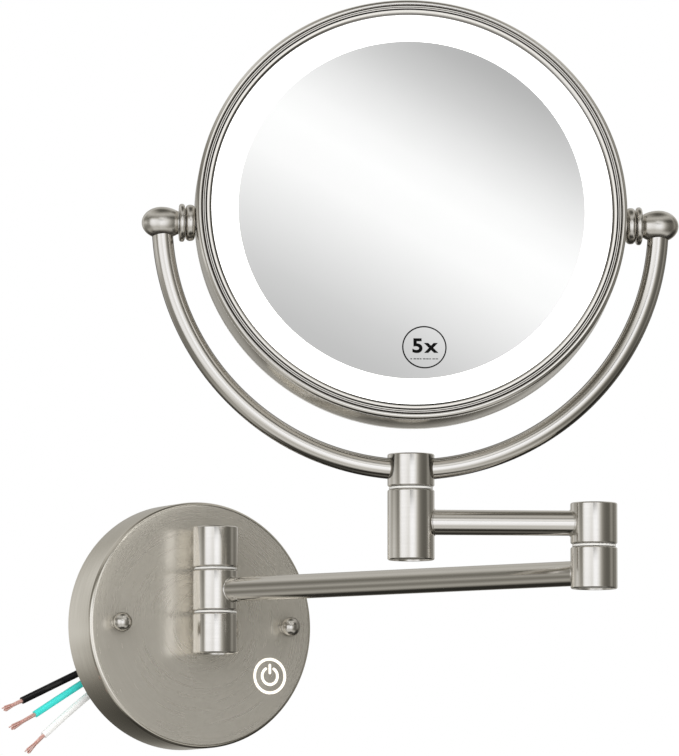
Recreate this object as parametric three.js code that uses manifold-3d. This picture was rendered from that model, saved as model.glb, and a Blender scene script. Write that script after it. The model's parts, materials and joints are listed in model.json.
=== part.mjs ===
// Extendable shaving mirror: a lit, double-sided 8 inch mirror on a two-part swing arm.
//
// Frame: millimetres, +Z up. The origin is the centre of the wall plate's back face, the wall is
// the plane y = 0 and the mirror stands out from it towards -Y. The arms are modelled part folded:
// the long arm swung to one side, the short arm folded back over it.

import * as THREE from 'three';
import { mergeVertices } from 'three/addons/utils/BufferGeometryUtils.js';
import Module from 'manifold-3d';

const wasm = await Module();
wasm.setup();

// ------------------------------------------------------------------ driving dimensions

const GAP = 0.3; // air between neighbouring solids
const deg = THREE.MathUtils.degToRad;

const PLATE = { r: 60, depth: 25.1, wall: 1.4, fillet: 2.2 };
const BACKPLATE = { r: 58, thick: 1.6, holeR: 2.4, holeRing: 36 };
const STUD = { x: 45.4, r: 2, holeR: 2.6, tip: 31 };
const CAP_NUT = { skirtR: 3.5, skirt: 0.6, neckR: 3, ballR: 4.6, ballAt: 5.6 };
const TOUCH = { x: 37.1, z: -24, ringR: 8.9, stroke: 1.5, proud: 0.2 };
const POWER_MARK = { arcR: 4.15, arcGap: 32, barFrom: 0.9, barTo: 6 };
const DRIVER = { x: -6, z: -32, wide: 48, high: 22, deep: 15, stand: 3 };
const GROMMET = { x: 22, z: -6, r: 7, flangeR: 9 };

const BARREL = { r: 11, bore: 5, chamfer: 0.5, capR: 8.6, capThick: 1.2, capSet: 0.4 };
const PIN = { r: 4.7, bore: 3.2 };
const WASHER = { r: 10.3, bore: 5.1, thick: 1 };
const ARM_TUBE = { r: 5.9, bore: 4.7 };

const WALL_AXIS_Y = -40.7; // vertical hinge at the wall plate
const LONG_ARM = { length: 222, z: 16, angle: deg(-63.1) };
const SHORT_ARM = { length: 86, z: 39.1, angle: deg(158) };

const WALL_BARREL = { bottom: -14.7, lowGap: 5.4, highGap: 26.5, top: 46.9 };
const ELBOW_BARREL = { bottom: 8.4, gap: 28.65, top: 48.7 };
const POST_BARREL = { bottom: 21.4, gap: 55, top: 71, boreTop: 58.5 };
const STUB = { r: 4, bore: 2.4, inside: 15 };

const YOKE = { r: 116.65, z: 180.4, tube: 4.9, bore: 3.6, turn: deg(-23), endZ: 175 };
const BALL = { x: 117, r: 7.35, outerHalf: 9.2, innerHalf: 11, inner: 109 };
const COLLAR = { bore: 3.8, thinR: 8.9, beadR: 8.5 };
const TRUNNION = { r: 3.4, from: 99, to: 114 };

const HEAD = { r: 101.2, halfDeep: 9, wall: 1.6, pivotZ: 179, rise: 5.2, tilt: deg(-7.8) };
const LENS = { mirrorR: 81.6, lightR: 98.5, thick: 1.8, sag: 4.6 };
const BADGE = { x: 5.1, z: -66, r: 10.4, thick: 0.3 };

const WIRE = { r: 1.75, coreR: 1 };
const SIDES = { plate: 40, barrel: 24, small: 16, head: 40, yoke: 10, yokeSteps: 26 };

// ------------------------------------------------------------------ materials

const material = (color, roughness, metalness) =>
  new THREE.MeshStandardMaterial({ color, roughness, metalness });

const nickel = () => material(0xa9a498, 0.35, 1);
const steel = () => material(0x8d8f90, 0.45, 1);
const nylon = () => material(0xe8e6df, 0.5, 0);
const mirror = () => material(0xe6e8ea, 0.03, 1);
const opal = () => material(0xffffff, 0.6, 0);
const board = () => material(0x1f6b46, 0.6, 0);
const plastic = (color) => material(color, 0.5, 0);
const copper = () => material(0xb87552, 0.4, 1);

// ------------------------------------------------------------------ solids and meshes

// A closed solid from a geometry whose shared corners are merged.
function toSolid(geometry) {
  const bare = new THREE.BufferGeometry();
  bare.setAttribute('position', geometry.getAttribute('position'));
  bare.setIndex(geometry.getIndex());
  const merged = mergeVertices(bare, 1e-4);
  const index = merged.getIndex().array;
  const triangles = [];
  for (let i = 0; i < index.length; i += 3) {
    const [a, b, c] = [index[i], index[i + 1], index[i + 2]];
    if (a !== b && b !== c && c !== a) triangles.push(a, b, c);
  }
  const vertProperties = new Float32Array(merged.getAttribute('position').array);
  const triVerts = new Uint32Array(triangles);
  return new wasm.Manifold(new wasm.Mesh({ numProp: 3, vertProperties, triVerts }));
}

function toGeometry(solid) {
  const { vertProperties, triVerts, numProp } = solid.getMesh();
  const position = new Float32Array((vertProperties.length / numProp) * 3);
  for (let i = 0; i < position.length / 3; i++) {
    for (let k = 0; k < 3; k++) position[i * 3 + k] = vertProperties[i * numProp + k];
  }
  const geometry = new THREE.BufferGeometry();
  geometry.setAttribute('position', new THREE.BufferAttribute(position, 3));
  geometry.setIndex(new THREE.BufferAttribute(new Uint32Array(triVerts), 1));
  geometry.computeVertexNormals();
  return geometry;
}

// A named mesh, from a geometry with any number of geometries cut out of it.
function piece(name, look, geometry, ...cuts) {
  let solid = toSolid(geometry);
  for (const cut of cuts) solid = solid.subtract(toSolid(cut));
  const mesh = new THREE.Mesh(toGeometry(solid), look);
  mesh.name = name;
  return mesh;
}

function joined(first, ...rest) {
  let solid = toSolid(first);
  for (const other of rest) solid = solid.add(toSolid(other));
  return toGeometry(solid);
}

function group(parent, x, y, z, turn = 0) {
  const made = new THREE.Group();
  made.position.set(x, y, z);
  made.rotation.z = turn;
  parent.add(made);
  return made;
}

// ------------------------------------------------------------------ shapes

// Turned solids: the profile is [radius, height] and the axis is Z, X or the way out of the wall.
function turned(profile, sides) {
  const points = profile.map(([radius, height]) => new THREE.Vector2(radius, height));
  return new THREE.LatheGeometry(points, sides).rotateX(Math.PI / 2);
}

const closed = (profile) => [...profile, profile[0]];
const turnedX = (profile, sides) => turned(profile, sides).rotateY(Math.PI / 2);
const turnedOut = (profile, sides) => turned(profile, sides).rotateX(Math.PI / 2);

const rod = (r, from, to) => [[0, from], [r, from], [r, to], [0, to]];
const ring = (bore, r, from, to) => closed([[bore, from], [r, from], [r, to], [bore, to]]);

// Points of a round profile edge, from one angle to another in degrees.
function arcPoints(cx, cy, r, from, to, steps) {
  const points = [];
  for (let i = 0; i <= steps; i++) {
    const a = deg(from + ((to - from) * i) / steps);
    points.push([cx + r * Math.cos(a), cy + r * Math.sin(a)]);
  }
  return points;
}

// A plain bar along the way out of the wall, used as a solid or to cut a hole.
const outwardBar = (x, z, r, from, to, sides = SIDES.small) =>
  turnedOut(rod(r, from, to), sides).translate(x, 0, z);

function circle(r, sides) {
  const points = [];
  for (let i = 0; i < sides; i++) {
    const a = (i / sides) * 2 * Math.PI;
    points.push(new THREE.Vector2(r * Math.cos(a), r * Math.sin(a)));
  }
  return points;
}

function swept(path, steps, outer, sides, bore = 0) {
  const shape = new THREE.Shape(circle(outer, sides));
  if (bore > 0) shape.holes.push(new THREE.Path(circle(bore, sides).reverse()));
  return new THREE.ExtrudeGeometry(shape, { steps, bevelEnabled: false, extrudePath: path });
}

// An upright outline, x across and y up, standing out of the wall between two depths.
function outline(shape, from, to) {
  const flat = new THREE.ExtrudeGeometry(shape, { depth: to - from, bevelEnabled: false, curveSegments: 8 });
  return flat.rotateX(Math.PI / 2).translate(0, -from, 0);
}

// ------------------------------------------------------------------ hinge barrels

function knuckle(bottom, top, lowCap, highCap) {
  const { r, bore, chamfer, capR, capThick, capSet } = BARREL;
  const recessR = capR + GAP;
  const recess = capThick + capSet + GAP;
  const profile = [[r - chamfer, bottom], [r, bottom + chamfer], [r, top - chamfer], [r - chamfer, top]];
  if (highCap) profile.push([recessR, top], [recessR, top - recess]);
  profile.push([bore, highCap ? top - recess : top], [bore, lowCap ? bottom + recess : bottom]);
  if (lowCap) profile.push([recessR, bottom + recess], [recessR, bottom]);
  return turned(closed(profile), SIDES.barrel);
}

// The post's upper knuckle is solid above the pin, where the yoke passes through it.
function crossKnuckle(bottom, top, boreTop) {
  const { r, bore, chamfer, capR, capThick, capSet } = BARREL;
  const recessR = capR + GAP;
  const floor = top - capThick - capSet - GAP;
  const profile = [
    [0, boreTop], [bore, boreTop], [bore, bottom],
    [r - chamfer, bottom], [r, bottom + chamfer], [r, top - chamfer], [r - chamfer, top],
    [recessR, top], [recessR, floor], [0, floor],
  ];
  return turned(profile, SIDES.barrel);
}

const gapSide = (z, side) => z + side * (WASHER.thick / 2 + GAP);
const washerRing = ring(WASHER.bore, WASHER.r, -WASHER.thick / 2, WASHER.thick / 2);
const washer = (z) => turned(washerRing, SIDES.small).translate(0, 0, z);
const hollowPin = (from, to) => turned(ring(PIN.bore, PIN.r, from, to), SIDES.small);

function capTop(top) {
  const { capR, capThick, capSet } = BARREL;
  return turned(rod(capR, top - capSet - capThick, top - capSet), SIDES.small);
}

function capBottom(bottom) {
  const { capR, capThick, capSet } = BARREL;
  return turned(rod(capR, bottom + capSet, bottom + capSet + capThick), SIDES.small);
}

// Clear of the caps' recesses by a gap at each end.
const pinInset = BARREL.capThick + BARREL.capSet + 2 * GAP;

// A barrel with a little air round it, which shapes the end of a tube that meets it.
const barrelCut = (x, z) => turned(rod(BARREL.r + GAP, z - 14, z + 14), SIDES.barrel).translate(x, 0, 0);

function armTube(arm) {
  const tube = turnedX(ring(ARM_TUBE.bore, ARM_TUBE.r, 7, arm.length - 7), SIDES.small);
  return [tube.translate(0, 0, arm.z), barrelCut(0, arm.z), barrelCut(arm.length, arm.z)];
}

// ------------------------------------------------------------------ wall plate

const model = new THREE.Group();

function coverShell() {
  const { r, depth, wall, fillet } = PLATE;
  const inner = r - wall;
  return turnedOut([
    [0, depth - wall], [inner - wall, depth - wall], [inner, depth - 2 * wall], [inner, 0], [r, 0],
    ...arcPoints(r - fillet, depth - fillet, fillet, 0, 90, 4),
    [0, depth],
  ], SIDES.plate);
}

// The power mark: a broken arc with a bar standing in its gap.
function powerMark(grow) {
  const { arcR, arcGap, barFrom, barTo } = POWER_MARK;
  const half = TOUCH.stroke / 2 + grow;
  const gapAngle = deg(arcGap) - grow / arcR;
  const start = Math.PI / 2 + gapAngle;
  const end = Math.PI / 2 - gapAngle + 2 * Math.PI;
  const arc = new THREE.Shape();
  arc.absarc(0, 0, arcR + half, start, end, false);
  arc.absarc(0, 0, arcR - half, end, start, true);
  const bar = new THREE.Shape();
  bar.moveTo(-half, barFrom - grow);
  bar.lineTo(half, barFrom - grow);
  bar.lineTo(half, barTo + grow);
  bar.lineTo(-half, barTo + grow);
  return [arc, bar];
}

// The touch key: a metal disc in a ring of light, with the mark shining through it.
function addTouchKey() {
  const { x, z, ringR, stroke, proud } = TOUCH;
  const face = PLATE.depth;
  const inside = face - PLATE.wall;
  const back = inside - GAP - 2;
  const base = turnedOut(rod(ringR + 1.3, back, inside - GAP), 24);
  const rim = turnedOut(ring(ringR - stroke, ringR, back + 1, face + proud), 24);
  const marks = powerMark(0).map((shape) => outline(shape, back + 1, face + proud));
  const guide = joined(base, rim, ...marks).translate(x, 0, z);
  const cuts = powerMark(GAP).map((shape) => outline(shape, face - 2, face + 1).translate(x, 0, z));
  const disc = turnedOut(rod(ringR - stroke - GAP, inside, face), 24).translate(x, 0, z);
  const sensor = turnedOut(rod(ringR + 2, back - 3, back - 1.8), 24).translate(x, 0, z);
  model.add(piece('touch_light_guide', opal(), guide));
  model.add(piece('touch_disc', nickel(), disc, ...cuts));
  model.add(piece('touch_sensor_board', board(), sensor));
}

const knuckleMiddle = (low, high) => (low + high) / 2;

function addWallPlate() {
  const { depth } = PLATE;
  const stubHeights = [
    ['upper', knuckleMiddle(gapSide(WALL_BARREL.highGap, 1), WALL_BARREL.top)],
    ['lower', knuckleMiddle(WALL_BARREL.bottom, gapSide(WALL_BARREL.lowGap, -1))],
  ];
  const throughCover = (x, z, r) => outwardBar(x, z, r, depth - 3, depth + 1);

  model.add(piece(
    'wall_plate_cover', nickel(), coverShell(),
    throughCover(-STUD.x, 0, STUD.holeR),
    throughCover(STUD.x, 0, STUD.holeR),
    throughCover(TOUCH.x, TOUCH.z, TOUCH.ringR + GAP),
    ...stubHeights.map(([, z]) => throughCover(0, z, STUB.r + GAP)),
  ));

  const screwHoles = [45, 135, 225, 315].map((angle) => {
    const x = BACKPLATE.holeRing * Math.cos(deg(angle));
    const z = BACKPLATE.holeRing * Math.sin(deg(angle));
    return outwardBar(x, z, BACKPLATE.holeR, -1, BACKPLATE.thick + 1, 12);
  });
  model.add(piece(
    'mounting_plate', steel(), turnedOut(rod(BACKPLATE.r, 0, BACKPLATE.thick), SIDES.plate),
    outwardBar(GROMMET.x, GROMMET.z, GROMMET.r + GAP, -1, BACKPLATE.thick + 1),
    ...screwHoles,
  ));

  for (const [side, x] of [['left', -STUD.x], ['right', STUD.x]]) {
    const stud = outwardBar(x, 0, STUD.r, BACKPLATE.thick + GAP, STUD.tip, 12);
    model.add(piece(`mounting_stud_${side}`, steel(), stud));
    model.add(piece(`cap_nut_${side}`, nickel(), capNut().translate(x, 0, 0)));
  }

  for (const [place, z] of stubHeights) {
    const tube = turnedOut(ring(STUB.bore, STUB.r, STUB.inside, -WALL_AXIS_Y), SIDES.small);
    const barrel = barrelCut(0, z).translate(0, WALL_AXIS_Y, 0);
    model.add(piece(`hinge_stub_${place}`, nickel(), tube.translate(0, 0, z), barrel));
  }
  model.add(piece('led_driver', plastic(0xe9e9e6), driverBox()));
  model.add(piece('wire_grommet', plastic(0x2b2b2b), grommet()));
  addTouchKey();
}

// A ball-shaped blind nut on a short neck, on the end of its stud.
function capNut() {
  const { skirtR, skirt, neckR, ballR, ballAt } = CAP_NUT;
  const base = PLATE.depth + GAP;
  const bore = STUD.r + GAP;
  const roof = STUD.tip + GAP;
  const middle = base + ballAt;
  const waist = THREE.MathUtils.radToDeg(Math.acos(neckR / ballR));
  return turnedOut([
    [0, roof], [bore, roof], [bore, base], [skirtR, base], [skirtR, base + skirt], [neckR, base + 2 * skirt],
    ...arcPoints(0, middle, ballR, -waist, 90, 7).slice(0, -1),
    [0, middle + ballR],
  ], 16);
}

function driverBox() {
  const { x, z, wide, high, deep, stand } = DRIVER;
  const from = BACKPLATE.thick + stand;
  return new THREE.BoxGeometry(wide, deep, high).translate(x, -from - deep / 2, z);
}

function grommet() {
  const lip = BACKPLATE.thick + GAP;
  const profile = [[0, 0], [GROMMET.r, 0], [GROMMET.r, lip], [GROMMET.flangeR, lip]];
  profile.push([GROMMET.flangeR, lip + 1.2], [0, lip + 1.2]);
  return turnedOut(profile, SIDES.small).translate(GROMMET.x, 0, GROMMET.z);
}

// ------------------------------------------------------------------ supply wires

// Each lead's route, in millimetres, from the grommet to the end of its insulation, and its bare tip.
const LEADS = {
  black: {
    color: 0x1c1a1a,
    route: [
      [22, 0.3, -3.6], [22, 4, -3.6], [21.1, 8, -3.6], [18.2, 11, -3.7], [13.8, 12.5, -3.9],
      [8, 12.9, -4.3], [1, 12.7, -4.9], [-7, 12.4, -6.1], [-15, 12.2, -8.2], [-22, 12.1, -10.8],
      [-30, 12, -14.2], [-38, 12, -17.9], [-49.7, 12, -23.3], [-60, 12, -28.1], [-70, 12, -32.8],
      [-79, 12, -37],
    ],
    tip: [-88.8, 12, -41.5],
  },
  green: {
    color: 0x1fae93,
    route: [
      [24.1, 0.3, -7.2], [24.1, 5, -7.2], [23.2, 10, -7.2], [20, 14.2, -7.2], [15, 16.2, -7.4],
      [9, 16.6, -7.9], [2, 16.2, -8.8], [-6, 15.4, -10.5], [-14, 14.5, -12.8], [-22, 13.7, -15.6],
      [-30, 13, -18.9], [-38, 12.4, -22.8], [-47.3, 12.1, -28.2], [-60, 12, -36], [-72, 12, -43.5],
    ],
    tip: [-85, 12, -50.6],
  },
  white: {
    color: 0xf1f1ee,
    route: [
      [19.9, 0.3, -7.2], [19.9, 3.5, -7.2], [18.9, 7.2, -7.4], [16.2, 9.8, -8.1], [12.2, 10.9, -9.1],
      [7, 11.2, -10.4], [0, 11.2, -12.1], [-8, 11.2, -14.4], [-16, 11.3, -17.4], [-24, 11.5, -21.1],
      [-32, 11.7, -25.8], [-38, 11.9, -29.8], [-44.5, 12, -34.6], [-56, 12, -43.9], [-67.3, 12, -53.6],
    ],
    tip: [-76.3, 12, -62.1],
  },
};

function addLeads() {
  for (const [colour, { color, route, tip }] of Object.entries(LEADS)) {
    const points = route.map((point) => new THREE.Vector3(...point));
    const path = new THREE.CatmullRomCurve3(points, false, 'centripetal');
    model.add(piece(`wire_${colour}`, plastic(color), swept(path, 18, WIRE.r, 8)));
    const end = points.at(-1);
    const bareEnd = new THREE.Vector3(...tip);
    const start = end.clone().lerp(bareEnd, GAP / end.distanceTo(bareEnd));
    const core = swept(new THREE.LineCurve3(start, bareEnd), 1, WIRE.coreR, 8);
    model.add(piece(`wire_${colour}_core`, copper(), core));
  }
}

// ------------------------------------------------------------------ swing arms

function addWallHinge() {
  const { bottom, lowGap, highGap, top } = WALL_BARREL;
  const hinge = group(model, 0, WALL_AXIS_Y, 0);
  const upper = knuckle(gapSide(highGap, 1), top, false, true);
  const lower = knuckle(bottom, gapSide(lowGap, -1), true, false);
  hinge.add(piece('wall_knuckle_upper', nickel(), upper));
  hinge.add(piece('wall_knuckle_lower', nickel(), lower));
  hinge.add(piece('wall_hinge_pin', steel(), hollowPin(bottom + pinInset, top - pinInset)));
  hinge.add(piece('wall_cap_top', nickel(), capTop(top)));
  hinge.add(piece('wall_cap_bottom', nickel(), capBottom(bottom)));
}

function addLongArm() {
  const { lowGap, highGap } = WALL_BARREL;
  const { bottom, gap } = ELBOW_BARREL;
  const arm = group(model, 0, WALL_AXIS_Y, 0, LONG_ARM.angle);
  const middle = knuckle(gapSide(lowGap, 1), gapSide(highGap, -1), false, false);
  arm.add(piece('wall_knuckle_middle', nickel(), middle));
  arm.add(piece('wall_washer_upper', nylon(), washer(highGap)));
  arm.add(piece('wall_washer_lower', nylon(), washer(lowGap)));
  arm.add(piece('long_arm_tube', nickel(), ...armTube(LONG_ARM)));
  const elbow = group(arm, LONG_ARM.length, 0, 0);
  elbow.add(piece('elbow_knuckle_lower', nickel(), knuckle(bottom, gapSide(gap, -1), true, false)));
  elbow.add(piece('elbow_washer', nylon(), washer(gap)));
  elbow.add(piece('elbow_hinge_pin', steel(), hollowPin(bottom + pinInset, ELBOW_BARREL.top - pinInset)));
  elbow.add(piece('elbow_cap_bottom', nickel(), capBottom(bottom)));
}

const elbowX = LONG_ARM.length * Math.cos(LONG_ARM.angle);
const elbowY = WALL_AXIS_Y + LONG_ARM.length * Math.sin(LONG_ARM.angle);
const postX = elbowX + SHORT_ARM.length * Math.cos(SHORT_ARM.angle);
const postY = elbowY + SHORT_ARM.length * Math.sin(SHORT_ARM.angle);

function addShortArm() {
  const arm = group(model, elbowX, elbowY, 0, SHORT_ARM.angle);
  const upper = knuckle(gapSide(ELBOW_BARREL.gap, 1), ELBOW_BARREL.top, false, true);
  arm.add(piece('elbow_knuckle_upper', nickel(), upper));
  arm.add(piece('elbow_cap_top', nickel(), capTop(ELBOW_BARREL.top)));
  arm.add(piece('short_arm_tube', nickel(), ...armTube(SHORT_ARM)));
  const { bottom, gap, boreTop } = POST_BARREL;
  const post = group(arm, SHORT_ARM.length, 0, 0);
  post.add(piece('post_knuckle_lower', nickel(), knuckle(bottom, gapSide(gap, -1), true, false)));
  post.add(piece('post_washer', nylon(), washer(gap)));
  post.add(piece('post_hinge_pin', steel(), hollowPin(bottom + pinInset, boreTop - GAP)));
  post.add(piece('post_cap_bottom', nickel(), capBottom(bottom)));
}

// ------------------------------------------------------------------ yoke

// The yoke's centre line: the lower part of an upright circle.
class YokeArc extends THREE.Curve {
  getPoint(t, target = new THREE.Vector3()) {
    const short = Math.asin((YOKE.z - YOKE.endZ) / YOKE.r);
    const angle = Math.PI + short + t * (Math.PI - 2 * short);
    return target.set(YOKE.r * Math.cos(angle), 0, YOKE.z + YOKE.r * Math.sin(angle));
  }
}

// The ball at the end of the yoke, about the tilt axis, cut off square where it faces the mirror.
function ballEnd(grow = 0) {
  const { x, r, outerHalf, innerHalf, inner } = BALL;
  const from = inner - grow;
  const cutAngle = Math.acos((x - from) / innerHalf);
  const steps = 4;
  const profile = [[0, from]];
  for (let i = 0; i <= steps; i++) {
    const a = cutAngle + (Math.PI / 2 - cutAngle) * (i / steps);
    profile.push([(r + grow) * Math.sin(a), x - innerHalf * Math.cos(a)]);
  }
  for (let i = 1; i < steps; i++) {
    const a = (Math.PI / 2) * (i / steps);
    profile.push([(r + grow) * Math.cos(a), x + (outerHalf + grow) * Math.sin(a)]);
  }
  profile.push([0, x + outerHalf + grow]);
  return turnedX(profile, SIDES.small);
}

// A collar with a rounded edge, round the trunnion.
function collar(r, from, to, round) {
  const edge = [[r - round, from], [r, from + round], [r, to - round], [r - round, to]];
  return turnedX(closed([[COLLAR.bore, from], ...edge, [COLLAR.bore, to]]), SIDES.small);
}

const THIN = { from: BALL.inner - GAP - 2.6, to: BALL.inner - GAP };
const BEAD = { from: HEAD.r + GAP, to: THIN.from - GAP };

function addYoke() {
  const { gap, top, boreTop } = POST_BARREL;
  const yoke = group(model, postX, postY, 0, YOKE.turn);
  const arc = new YokeArc();
  const clearance = swept(arc, SIDES.yokeSteps, YOKE.tube + GAP, SIDES.yoke);
  yoke.add(piece('post_knuckle_upper', nickel(), crossKnuckle(gapSide(gap, 1), top, boreTop), clearance));
  yoke.add(piece('post_cap_top', nickel(), capTop(top)));
  const balls = [0, Math.PI].map((turn) => ballEnd(GAP).rotateZ(turn).translate(0, 0, HEAD.pivotZ));
  const tube = swept(arc, SIDES.yokeSteps, YOKE.tube, SIDES.yoke, YOKE.bore);
  yoke.add(piece('yoke_tube', nickel(), tube, ...balls));
  const pivots = group(yoke, 0, 0, HEAD.pivotZ);
  for (const [side, turn] of [['right', 0], ['left', Math.PI]]) {
    const end = group(pivots, 0, 0, 0, turn);
    const bore = turnedX(rod(COLLAR.bore, BALL.inner - 1, TRUNNION.to + GAP), SIDES.small);
    end.add(piece(`ball_end_${side}`, nickel(), ballEnd(), bore));
    end.add(piece(`thin_collar_${side}`, nickel(), collar(COLLAR.thinR, THIN.from, THIN.to, 0.8)));
  }
  return yoke;
}

// ------------------------------------------------------------------ mirror head

// Half of the head's rim, as radius and depth in front of the middle plane.
function bezel() {
  const { r, halfDeep } = HEAD;
  const seat = halfDeep + GAP;
  const inner = r - 7.2;
  return closed([
    [inner, seat], [r, seat], [r, seat + 1.1], [r - 0.6, seat + 1.9], [r - 1.4, seat + 2.4],
    [r - 2.4, seat + 2.4], [r - 2.9, seat + 1.8], [r - 4.8, seat + 1.7], [r - 5.2, seat + 2],
    [r - 6.1, seat + 2], [inner, seat + 1],
  ]);
}

// The magnifying glass, dished towards its middle by the same amount on both faces.
function dishedGlass() {
  const { mirrorR, sag, thick } = LENS;
  const face = HEAD.halfDeep;
  const steps = 4;
  const dish = (radius) => sag * (1 - (radius / mirrorR) ** 2);
  const radii = Array.from({ length: steps + 1 }, (_, i) => (mirrorR * i) / steps);
  const back = radii.map((radius) => [radius, face - thick - dish(radius)]);
  const front = radii.map((radius) => [radius, face - dish(radius)]);
  return turnedOut([...back, ...front.reverse()], SIDES.head);
}

function addHead(yoke) {
  const tilting = group(yoke, 0, 0, HEAD.pivotZ);
  tilting.rotation.x = HEAD.tilt;
  for (const [side, turn] of [['right', 0], ['left', Math.PI]]) {
    const end = group(tilting, 0, 0, 0, turn);
    end.add(piece(`bead_collar_${side}`, nickel(), collar(COLLAR.beadR, BEAD.from, BEAD.to, 1.4)));
    const shaft = turnedX(rod(TRUNNION.r, TRUNNION.from, TRUNNION.to), 16);
    end.add(piece(`trunnion_${side}`, steel(), shaft));
  }

  const head = group(tilting, 0, 0, HEAD.rise);
  const { r, halfDeep, wall } = HEAD;
  const { mirrorR, lightR, thick } = LENS;
  const front = halfDeep;
  const pivotBore = turnedX(rod(COLLAR.bore, -r - 5, r + 5), SIDES.small).translate(0, 0, -HEAD.rise);
  const band = turnedOut(ring(r - wall, r, -halfDeep, halfDeep), SIDES.head);
  const halo = ring(mirrorR + GAP, lightR, front - thick, front);
  const facing = { front: 0, rear: Math.PI };
  head.add(piece('head_band', nickel(), band, pivotBore));
  for (const [side, turn] of Object.entries(facing)) {
    const turnRound = (geometry) => geometry.rotateZ(turn);
    head.add(piece(`${side}_bezel`, nickel(), turnRound(turnedOut(bezel(), SIDES.head))));
    head.add(piece(`${side}_light_ring`, opal(), turnRound(turnedOut(halo, SIDES.head))));
  }
  head.add(piece('front_mirror', mirror(), dishedGlass()));
  head.add(piece('rear_mirror', mirror(), turnedOut(rod(mirrorR, -front, thick - front), SIDES.head)));
  const plate = rod(lightR - 0.5, -3.4, -2.4);
  head.add(piece('chassis_plate', steel(), turnedOut(plate, SIDES.head)));
  const ledRing = ring(mirrorR + 1.5, lightR - 3, -2.1, -0.9);
  head.add(piece('led_board', board(), turnedOut(ledRing, SIDES.head)));
  head.add(piece('magnifier_badge', plastic(0x17181a), badge()));
}

// The magnification mark, just proud of the dished glass and square to it.
function badge() {
  const { x, z, r, thick } = BADGE;
  const radius = Math.hypot(x, z);
  const slope = (2 * LENS.sag * radius) / LENS.mirrorR ** 2;
  const depth = HEAD.halfDeep - LENS.sag * (1 - (radius / LENS.mirrorR) ** 2);
  const disc = turnedOut(rod(r, 0, thick), 32).rotateX(-Math.atan(slope));
  return disc.translate(x, -depth - 2 * GAP, z);
}

addWallPlate();
addLeads();
addWallHinge();
addLongArm();
addShortArm();
addHead(addYoke());

export default model;
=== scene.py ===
import json
import math

import bmesh
import bpy
from mathutils import Matrix, Vector


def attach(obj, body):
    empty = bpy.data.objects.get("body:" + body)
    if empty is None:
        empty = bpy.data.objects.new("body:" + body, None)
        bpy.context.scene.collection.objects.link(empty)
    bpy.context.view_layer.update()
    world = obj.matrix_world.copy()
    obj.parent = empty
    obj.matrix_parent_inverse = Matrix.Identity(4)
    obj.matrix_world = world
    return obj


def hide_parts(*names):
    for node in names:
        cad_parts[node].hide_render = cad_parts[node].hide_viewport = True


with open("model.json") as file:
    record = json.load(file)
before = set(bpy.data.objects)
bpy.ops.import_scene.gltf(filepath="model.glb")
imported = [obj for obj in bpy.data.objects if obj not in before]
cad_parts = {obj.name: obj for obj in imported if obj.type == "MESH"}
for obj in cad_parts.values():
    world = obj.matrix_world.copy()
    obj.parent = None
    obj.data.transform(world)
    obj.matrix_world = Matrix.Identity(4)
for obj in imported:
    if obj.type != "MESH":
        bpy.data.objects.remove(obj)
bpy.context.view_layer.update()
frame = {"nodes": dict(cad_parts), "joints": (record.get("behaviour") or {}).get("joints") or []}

scene = bpy.context.scene
MM = 0.001

# ---------------------------------------------------------------- measures, in millimetres

PLATE = dict(r=60, depth=25.1, wall=1.4, fillet=2.1)
BACKPLATE = dict(r=58, thick=1.6, hole=2.4, ring=36)
STUD = dict(x=45.4, hole=2.6)
CAP_NUT = dict(skirt_r=3.3, neck=3.0, ball=4.7, at=5.9)
TOUCH = dict(x=37.1, z=-24, ring=8.9, stroke=1.35, proud=0.2)
POWER_MARK = dict(arc=4.15, gap=32, bar=(0.9, 6.0))  # gap in degrees each side of upright
GROMMET = dict(x=22, z=-6, r=7, flange=9)
BARREL = dict(r=11, bore=5, chamfer=0.5, cap=8.6, cap_thick=1.2, cap_set=0.4)
WASHER = dict(r=10.3, bore=5.1, thick=1.0)
ARM_TUBE = dict(r=5.9, bore=4.7)
STUB = dict(r=4, bore=2.4, inside=15)
GAP = 0.3

WALL_BARREL = dict(bottom=-14.7, low_gap=5.4, high_gap=26.5, top=46.9)
ELBOW_BARREL = dict(bottom=8.4, gap=28.65, top=48.7)
POST_BARREL = dict(bottom=21.4, gap=55, top=71, bore_top=58.5)
LONG_ARM_Z = 16
SHORT_ARM_Z = 39.1

YOKE = dict(r=116.65, z=180.4, tube=4.9, bore=3.6, end_z=175)
BALL = dict(x=117, r=7.4, outer_half=9.2, inner_half=11.2, inner=109.0, hole=114.3)
COLLAR = dict(bore=3.8, thin_r=8.9, thin=2.6, bead_r=8.5)
HEAD = dict(r=101.2, half=9, wall=1.6, rise=5.2, tilt=-7.8)
LENS = dict(mirror=81.6, light=98.5, thick=1.8, sag=4.6)
BADGE = dict(x=5.1, z=-66, r=10.4, ring=0.62, ink=0.05, above_glass=0.12)
FIGURE = dict(size=9.6, heavier=0.26, apart=1.18, wider=1.12, raised=0.4)
DASHES = dict(count=9, width=13.2, low=-5.9, tall=0.35)
WIRE = dict(r=1.75, core=1.0)

# ---------------------------------------------------------------- camera

AZIMUTH, ELEVATION = math.radians(-26.92), math.radians(-5.25)
BACK = Vector((
    math.sin(AZIMUTH) * math.cos(ELEVATION),
    -math.cos(AZIMUTH) * math.cos(ELEVATION),
    math.sin(ELEVATION),
))
RIGHT = Vector((math.cos(AZIMUTH), math.sin(AZIMUTH), 0))
UP = BACK.cross(RIGHT)
DISTANCE, ACROSS, ABOVE = 3.67375, 0.07854, 0.1223
FOCAL = 357.14

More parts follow.
